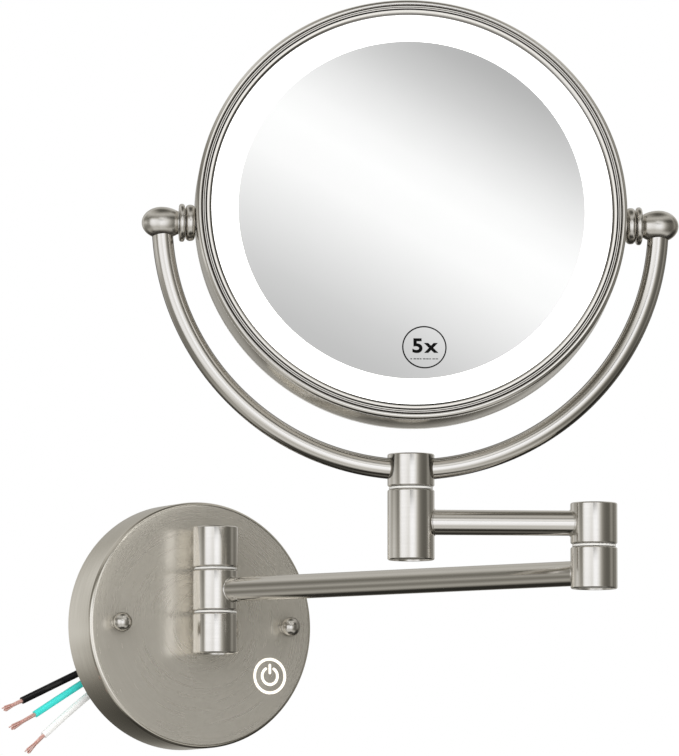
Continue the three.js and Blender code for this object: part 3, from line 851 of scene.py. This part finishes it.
def add_mounting_plate():
    r, thick = BACKPLATE["r"], BACKPLATE["thick"]
    profile = softened([(0, 0), (r, 0), (r, thick), (0, thick)], 0.3, loop=False)
    mesh = lathe(profile, 160, loop=False)
    cutters = [drilled(GROMMET["x"], GROMMET["z"], GROMMET["r"] + 0.1, -1, thick + 1)]
    for angle in (45, 135, 225, 315):
        x = BACKPLATE["ring"] * math.cos(math.radians(angle))
        z = BACKPLATE["ring"] * math.sin(math.radians(angle))
        cutters.append(drilled(x, z, BACKPLATE["hole"], -1, thick + 1))
    mesh = cut(mesh, *cutters)
    add("mounting_plate", mesh, AT_PLATE, zinc("zinc_plate"), "wall_plate")


def add_grommet():
    r, flange = GROMMET["r"], GROMMET["flange"]
    lip = BACKPLATE["thick"] + GAP
    profile = [(0, 0), (r, 0), (r, lip), (flange, lip), (flange, lip + 1.2), (0, lip + 1.2)]
    mesh = lathe(softened(profile, 0.4, loop=False), 64, loop=False)
    axes = AT_PLATE @ shift(GROMMET["x"], GROMMET["z"])
    rubber = plastic("rubber", (0.02, 0.02, 0.021), rough=0.6, vary=0.2, bump=0.3)
    add("wire_grommet", mesh, axes, rubber, "wall_plate")


def add_cap_nuts():
    n = CAP_NUT
    base = FACE + 0.05
    bore = base + n["at"] + 0.5
    waist = -math.degrees(math.acos(n["neck"] / n["ball"]))
    middle = base + n["at"]
    profile = [(0, bore), (2.2, bore), (2.2, base), (n["skirt_r"], base), (n["skirt_r"], base + 0.6)]
    profile += [(n["neck"] + 0.1, base + 1.1), (n["neck"], base + 1.6)]
    profile += arc(0, middle, n["ball"], waist, 84, 24) + [(0, middle + n["ball"])]
    for side, x in (("left", -STUD["x"]), ("right", STUD["x"])):
        axes = AT_PLATE @ shift(x, 0)
        mesh = lathe(softened(profile, 0.2, loop=False), 64, loop=False, sharp=45)
        add_nickel("cap_nut_" + side, mesh, axes, "wall_plate", rough=0.2, edge=0.05)


def prism(outlines, low, high):
    """Closed prisms over flat outlines, lists of (x, y) in millimetres, standing on local Z."""
    bm = bmesh.new()
    for points in outlines:
        rings = []
        for height in (low, high):
            rings.append([Vector((x * MM, y * MM, height * MM)) for x, y in points])
        skin(bm, rings, loop=False, caps=True)
    return finished(bm)


def round_end(radius, half, at, start):
    """The half circle that ends a bent bar, without the points it shares with the arcs."""
    x, y = arc(0, 0, radius, at, at)[0]
    return arc(x, y, half, start, start + 180)[1:-1]


def band_outline(radius, half, start, end, steps=64):
    """A bent bar with round ends, along an arc from start to end in degrees."""
    points = arc(0, 0, radius + half, start, end, steps)
    points += round_end(radius, half, end, end)
    points += arc(0, 0, radius - half, end, start, steps)
    return points + round_end(radius, half, start, start + 180)


def bar_outline(half, low, high):
    """A straight upright bar with round ends."""
    return arc(0, high - half, half, 0, 180) + arc(0, low + half, half, 180, 360)


def add_touch_key(metal):
    axes = AT_PLATE @ shift(TOUCH["x"], TOUCH["z"])
    outer, stroke, proud = TOUCH["ring"], TOUCH["stroke"], TOUCH["proud"]
    half = stroke / 2
    low, high = FACE - 2, FACE + proud
    inner = outer - stroke
    ring = lathe(softened([(inner, low), (outer, low), (outer, high), (inner, high)], 0.1), 96)
    gap = POWER_MARK["gap"]
    marks = prism([
        band_outline(POWER_MARK["arc"], half, 90 + gap, 450 - gap),
        bar_outline(half, *POWER_MARK["bar"]),
    ], low, high)
    bm = bmesh.new()
    bm.from_mesh(ring)
    bm.from_mesh(marks)
    glow = lit("lit_mark", (1.0, 0.95, 0.86), 0.55, base=(0.9, 0.87, 0.8))
    add("touch_light_guide", finished(bm), axes, glow, "wall_plate")
    disc_r = inner - 0.05
    profile = softened([(0, FACE - 1), (disc_r, FACE - 1), (disc_r, FACE), (0, FACE)], 0.08, loop=False)
    mesh = lathe(profile, 96, loop=False)
    add("touch_disc", mesh, axes, metal, "wall_plate")


# ---------------------------------------------------------------- hinges and arms

def knuckle_mesh(bottom, top, low_cap=False, top_cap=False, solid_from=None):
    b = BARREL
    recess = b["cap_thick"] + b["cap_set"] + GAP
    lip = b["cap"] + 0.12
    outside = [(b["r"] - b["chamfer"], bottom), (b["r"], bottom + b["chamfer"])]
    outside += [(b["r"], top - b["chamfer"]), (b["r"] - b["chamfer"], top)]
    if solid_from is not None:
        profile = [(0, solid_from), (b["bore"], solid_from), (b["bore"], bottom), *outside]
        profile += [(lip, top), (lip, top - recess), (0, top - recess)]
        return lathe(softened(profile, 0.18, loop=False), 128, loop=False)
    profile = list(outside)
    bore_top = top - recess if top_cap else top
    bore_bottom = bottom + recess if low_cap else bottom
    if top_cap:
        profile += [(lip, top), (lip, top - recess)]
    profile += [(b["bore"], bore_top), (b["bore"], bore_bottom)]
    if low_cap:
        profile += [(lip, bottom + recess), (lip, bottom)]
    return lathe(softened(profile, 0.18), 128)


def cap_mesh(low):
    r, thick = BARREL["cap"], BARREL["cap_thick"]
    profile = [(0, low), (r - 0.4, low), (r, low + 0.35), (r, low + thick - 0.35), (r - 0.4, low + thick)]
    profile += [(0, low + thick)]
    return lathe(softened(profile, 0.15, loop=False), 96, loop=False)


def washer_mesh(height):
    half = WASHER["thick"] / 2 + 0.04
    bore, r = WASHER["bore"], WASHER["r"]
    profile = [(bore, height - half), (r, height - half), (r, height + half), (bore, height + half)]
    return lathe(softened(profile, 0.3), 96)


def add_cap(node, height, axes, body, top):
    """The disc let into a barrel's top or bottom end, which is at this height."""
    inset, thick = BARREL["cap_set"], BARREL["cap_thick"]
    low = height - inset - thick if top else height + inset
    add_nickel(node, cap_mesh(low), axes, body)


def add_washer(node, height, axes, body):
    nylon = plastic("nylon_" + node, (0.8, 0.79, 0.76), rough=0.45, vary=0.04)
    add(node, washer_mesh(height), axes, nylon, body)


def saddle_x(barrel_r, y):
    return math.sqrt(max(0, barrel_r ** 2 - y ** 2))


def arm_mesh(length, sides=64):
    """A tube along X between two barrels, each end shaped to the barrel it meets."""
    rings = []
    barrel = BARREL["r"] - 0.06
    for r, shares in ((ARM_TUBE["r"], (0, 0.03, 0.5, 0.97, 1)), (ARM_TUBE["bore"], (1, 0.5, 0))):
        for share in shares:
            ring = []
            for c, s in circle(sides):
                start = saddle_x(barrel, r * c)
                x = start + (length - 2 * start) * share
                ring.append(Vector((x, r * c, r * s)) * MM)
            rings.append(ring)
    return skinned(rings)


def seam_mesh(size=0.42, sides=72, round_sides=10):
    """The brazed seam where a tube along X meets a barrel."""
    rings = []
    barrel, r = BARREL["r"] + 0.05, ARM_TUBE["r"] + 0.05
    along = Vector((1, 0, 0))
    for across, up in circle(sides):
        out = Vector((0, across, up))
        centre = along * saddle_x(barrel, r * across) + out * r
        rings.append([(centre + (along * c + out * s) * size) * MM for c, s in circle(round_sides)])
    return skinned(rings, sharp=60)


def add_arm(node, length, height, axes, body):
    middle = axes @ shift(0, 0, height)
    bm = bmesh.new()
    bm.from_mesh(arm_mesh(length))
    for end in (shift(0, 0), shift(length, 0) @ TURNED):
        seam = seam_mesh()
        seam.transform(end)
        bm.from_mesh(seam)
    add_nickel(node, finished(bm), middle, body, middle @ ALONG_X, rough=0.13, drawn=True)


def add_stub(place, height):
    """The short tube that holds a knuckle off the plate."""
    reach = -WALL_AXIS.y / MM
    rings = []
    for r, ends in ((STUB["r"], (0, 1)), (STUB["bore"], (1, 0))):
        for end in ends:
            ring = []
            for c, s in circle(48):
                depth = STUB["inside"] if end == 0 else reach - saddle_x(BARREL["r"] - 0.05, r * c)
                ring.append(Vector((r * c, height + r * s, depth)) * MM)
            rings.append(ring)
    node = "hinge_stub_" + place
    add_nickel(node, skinned(rings), AT_PLATE, "wall_plate", AT_PLATE @ shift(0, height), rough=0.15)


def add_foot(hinge, place, axes, body):
    """The knuckle under a hinge's washer, with the washer and the cap in its lower end."""
    mesh = knuckle_mesh(place["bottom"], gap_side(place["gap"], -1), low_cap=True)
    add_nickel(hinge + "_knuckle_lower", mesh, axes, body)
    add_washer(hinge + "_washer", place["gap"], axes, body)
    add_cap(hinge + "_cap_bottom", place["bottom"], axes, body, False)


def add_wall_hinge():
    w = WALL_BARREL
    upper = knuckle_mesh(gap_side(w["high_gap"], 1), w["top"], top_cap=True)
    add_nickel("wall_knuckle_upper", upper, AT_WALL, "wall_plate")
    lower = knuckle_mesh(w["bottom"], gap_side(w["low_gap"], -1), low_cap=True)
    add_nickel("wall_knuckle_lower", lower, AT_WALL, "wall_plate")
    add_cap("wall_cap_top", w["top"], AT_WALL, "wall_plate", True)
    add_cap("wall_cap_bottom", w["bottom"], AT_WALL, "wall_plate", False)
    for place, height in STUB_HEIGHTS.items():
        add_stub(place, height)
    middle = knuckle_mesh(gap_side(w["low_gap"], 1), gap_side(w["high_gap"], -1))
    add_nickel("wall_knuckle_middle", middle, AT_WALL, "long_arm")
    add_washer("wall_washer_upper", w["high_gap"], AT_WALL, "long_arm")
    add_washer("wall_washer_lower", w["low_gap"], AT_WALL, "long_arm")


def add_elbow():
    e = ELBOW_BARREL
    axes = upright(ELBOW_AXIS)
    add_foot("elbow", e, axes, "long_arm")
    upper = knuckle_mesh(gap_side(e["gap"], 1), e["top"], top_cap=True)
    add_nickel("elbow_knuckle_upper", upper, axes, "short_arm")
    add_cap("elbow_cap_top", e["top"], axes, "short_arm", True)


def yoke_rings(tube, start, end, steps, sides):
    """Rings round the yoke's arc from start to end, in radians, in axes at its centre."""
    rings = []
    deep = Vector((0, 1, 0))
    for k in range(steps + 1):
        a = start + (end - start) * k / steps
        out = Vector((math.cos(a), 0, math.sin(a)))
        ring = [out * (YOKE["r"] + tube * c) + deep * (tube * s) for c, s in circle(sides)]
        rings.append([point * MM for point in ring])
    return rings


ARC_AXES = YOKE_AXES @ shift(0, 0, YOKE["z"])


def add_post():
    p = POST_BARREL
    axes = upright(POST_AXIS)
    add_foot("post", p, axes, "short_arm")
    upper = knuckle_mesh(gap_side(p["gap"], 1), p["top"], solid_from=p["bore_top"])
    upper.transform(axes)
    lowest, reach = 1.5 * math.pi, math.radians(12)
    passing = yoke_rings(YOKE["tube"] + 0.05, lowest - reach, lowest + reach, 12, 48)
    tunnel = skinned(passing, loop=False, caps=True)
    tunnel.transform(ARC_AXES)
    upper = cut(upper, tunnel)
    add_nickel("post_knuckle_upper", upper, Matrix.Identity(4), "yoke", axes, rough=0.15)
    add_cap("post_cap_top", p["top"], axes, "yoke", True)


def add_yoke():
    short = math.asin((YOKE["z"] - YOKE["end_z"]) / YOKE["r"])
    start, end = math.pi + short, 2 * math.pi - short
    outer = yoke_rings(YOKE["tube"], start, end, 180, 48)
    inner = yoke_rings(YOKE["bore"], start, end, 60, 48)
    look = dict(rough=0.13, grain=1500, streak=3.0, edge=0.1)
    mesh = skinned(outer + inner[::-1])
    add_nickel("yoke_tube", mesh, ARC_AXES, "yoke", ARC_AXES @ OUTWARD, **look)
    for side, turn_round in SIDES.items():
        axes = PIVOT_AXES @ turn_round @ ALONG_X
        add_nickel("ball_end_" + side, ball_mesh(), axes, "yoke", rough=0.24)
        thin_to = BALL["inner"] - GAP
        thin = ring_mesh(COLLAR["thin_r"], thin_to - COLLAR["thin"], thin_to, 1.1)
        add_nickel("thin_collar_" + side, thin, axes, "yoke", rough=0.2)


def ball_mesh():
    """The ball at the yoke's end, cut off square where it faces the collar."""
    b = BALL
    profile = []
    steps = 18
    for k in range(steps + 1):
        a = math.pi / 2 * (1 - k / steps)
        profile.append((b["r"] * math.cos(a) if k else 0, b["x"] + b["outer_half"] * math.sin(a)))
    last = math.acos((b["x"] - b["inner"] - 0.35) / b["inner_half"])
    for k in range(1, steps + 1):
        a = math.pi / 2 + (math.pi / 2 - last) * k / steps
        profile.append((b["r"] * math.sin(a), b["x"] + b["inner_half"] * math.cos(a)))
    lip = profile[-1][0]
    profile += [(lip + 0.1, b["inner"] + 0.1), (lip - 0.1, b["inner"])]
    profile += [(COLLAR["bore"], b["inner"]), (COLLAR["bore"], b["hole"]), (0, b["hole"])]
    return lathe(profile, 96, loop=False, sharp=40)


def ring_mesh(r, low, high, edge):
    """A collar round the tilt pin with a rounded rim."""
    bore = COLLAR["bore"]
    rim = arc(r - edge, low + edge, edge, -90, 0) + arc(r - edge, high - edge, edge, 0, 90)
    return lathe([(bore, low), *rim, (bore, high)], 96)


# ---------------------------------------------------------------- mirror head

GROOVE_STEEP = math.tan(math.radians(43))
BEZEL_TOP = 2.0
BEZEL_GROOVES = [(96.1, 96.9), (97.25, 97.7), (98.0, 98.75)]


def bezel_profile():
    """From the inner lip over two flat-topped beads, with fine ridges between, to the outer edge."""
    seat = HEAD["half"] + GAP
    inner, top = 94.0, BEZEL_TOP
    points = [(inner, 0), (inner, top - 0.7), (94.75, top - 0.2), (95, top), (96.1, top)]
    for start, end in BEZEL_GROOVES:
        depth = (end - start) / 2 * GROOVE_STEEP
        points += [(start, top - 0.03), ((start + end) / 2, top - depth), (end, top - 0.03)]
    points += [(99.0, top + 0.38), (99.35, top + 0.42), (99.85, top + 0.38)]
    points += [(100.5, top - 0.15), (101.05, top - 0.85)]
    points += [(101.1, 0.95), (100.95, 0.8), (100.3, 0.7), (100.3, 0)]
    return [(r, seat + h) for r, h in points]


def add_head():
    r, half, wall = HEAD["r"], HEAD["half"], HEAD["wall"]
    profile = [(r - wall, -half), (r, -half), (r, half), (r - wall, half)]
    band = lathe(softened(profile, 0.5), 288)
    add_nickel("head_band", band, HEAD_OUT, "mirror_head", rough=0.18)
    top = HEAD["half"] + GAP + BEZEL_TOP
    # painted shade: the grooves between the beads and the inner lip are darkened in colour, more the
    # deeper they lie
    painted_shade_grooves = [(top - 0.12, top - 0.04, 95.9, 98.9), (top - 0.75, top + 0.05, 93, 94.8)]
    look = dict(rough=0.1, tones=BRIGHT_NICKEL, painted_shade_grooves=painted_shade_grooves)
    for side, axes in (("front", HEAD_OUT), ("rear", HEAD_BACK)):
        mesh = lathe(softened(bezel_profile(), 0.06, 2), 360, sharp=20)
        add_nickel(side + "_bezel", mesh, axes, "mirror_head", **look)
        low, high = half - LENS["thick"], half
        inner, outer = LENS["mirror"] + 0.12, LENS["light"]
        profile = softened([(inner, low), (outer, low), (outer, high), (inner, high)], 0.15)
        glow = lit(f"lit_{side}_ring", (1.0, 1.0, 1.0), 1.25)
        add(side + "_light_ring", lathe(profile, 256), axes, glow, "mirror_head")
    glass = silvered("silvered_front")
    add("front_mirror", dished_mesh(), HEAD_OUT, glass, "mirror_head")
    edge, back = LENS["mirror"], half - LENS["thick"]
    profile = softened([(0, back), (edge, back), (edge, half), (0, half)], 0.3, loop=False)
    flat = lathe(profile, 256, loop=False)
    glass = silvered("silvered_rear")
    add("rear_mirror", flat, HEAD_BACK, glass, "mirror_head")
    for side, turn_round in SIDES.items():
        axes = TILT_AXES @ turn_round @ ALONG_X
        low, high = HEAD["r"] + 0.05, BALL["inner"] - 2 * GAP - COLLAR["thin"]
        bead = ring_mesh(COLLAR["bead_r"], low, high, 2.0)
        add_nickel("bead_collar_" + side, bead, axes, "mirror_head", rough=0.2)


def dish_depth(radius):
    return HEAD["half"] - LENS["sag"] * (1 - (radius / LENS["mirror"]) ** 2)


def dished_mesh():
    """The magnifying glass, dished towards its middle, with a fine ground edge."""
    edge = LENS["mirror"]
    radii = [edge * k / 24 for k in range(25)]
    front = [(radius, dish_depth(radius)) for radius in radii]
    front[-1] = (edge - 0.3, dish_depth(edge - 0.3))
    back = [(radius, dish_depth(radius) - LENS["thick"]) for radius in radii]
    profile = back + [(edge, dish_depth(edge) - 0.3)] + front[::-1]
    return lathe(profile, 256, loop=False)


def add_badge():
    """The magnification mark: a fine ring round its figure, printed on the glass."""
    radius = math.hypot(BADGE["x"], BADGE["z"])
    slope = 2 * LENS["sag"] * radius / LENS["mirror"] ** 2
    tilt = Matrix.Rotation(-math.atan(slope), 4, "X")
    out = dish_depth(radius) + BADGE["above_glass"]
    middle = shift(BADGE["x"], -out, BADGE["z"])
    own = HEAD_AXES @ middle @ tilt @ OUTWARD
    text = bpy.data.curves.new("mark", "FONT")
    text.body = "5x"
    text.size = FIGURE["size"] * MM
    text.offset = FIGURE["heavier"] * MM
    text.space_character = FIGURE["apart"]
    text.extrude = BADGE["ink"] * MM
    text.align_x = "CENTER"
    text.align_y = "CENTER"
    holder = bpy.data.objects.new("mark", text)
    scene.collection.objects.link(holder)
    bpy.context.view_layer.update()
    graph = bpy.context.evaluated_depsgraph_get()
    figure = bpy.data.meshes.new_from_object(holder.evaluated_get(graph))
    bpy.data.objects.remove(holder)
    figure.transform(Matrix.Diagonal((FIGURE["wider"], 1, 1, 1)))
    bm = bmesh.new()
    bm.from_mesh(figure)
    bmesh.ops.translate(bm, verts=bm.verts, vec=(0, FIGURE["raised"] * MM, 0))
    outer, half = BADGE["r"], BADGE["ink"]
    inner = outer - BADGE["ring"]
    bm.from_mesh(lathe([(inner, -half), (outer, -half), (outer, half), (inner, half)], 96))
    for k in range(DASHES["count"]):
        start = DASHES["width"] * (k / DASHES["count"] - 0.5)
        end = start + DASHES["width"] / DASHES["count"] * (0.8 if k % 3 else 0.5)
        low, high = DASHES["low"], DASHES["low"] + DASHES["tall"]
        bm.from_mesh(prism([[(start, low), (end, low), (end, high), (start, high)]], -0.04, 0.04))
    ink = plastic("ink", (0.002, 0.002, 0.002), rough=0.6, vary=0.2, shine=0.1)
    add("magnifier_badge", finished(bm), own, ink, "mirror_head")


metal = add_cover()
add_mounting_plate()
add_grommet()
add_cap_nuts()
add_touch_key(metal)
add_wall_hinge()
add_arm("long_arm_tube", ARM_LENGTH, LONG_ARM_Z, LONG_ARM_AXES, "long_arm")
add_elbow()
add_arm("short_arm_tube", SHORT_LENGTH, SHORT_ARM_Z, SHORT_ARM_AXES, "short_arm")
add_post()
add_yoke()
add_head()
add_badge()

INNER = {
    "zinc_inner": (zinc, [
        "mounting_stud_left", "mounting_stud_right", "wall_hinge_pin", "elbow_hinge_pin", "post_hinge_pin",
        "trunnion_left", "trunnion_right", "chassis_plate",
    ]),
    "board_inner": (board, ["touch_sensor_board", "led_board"]),
    "driver_inner": (lambda name: plastic(name, (0.8, 0.8, 0.78), rough=0.5), ["led_driver"]),
}
for name, (make, nodes) in INNER.items():
    material = make(name)
    for node in nodes:
        mesh = frame["nodes"][node].data
        mesh.materials.clear()
        mesh.materials.append(material)
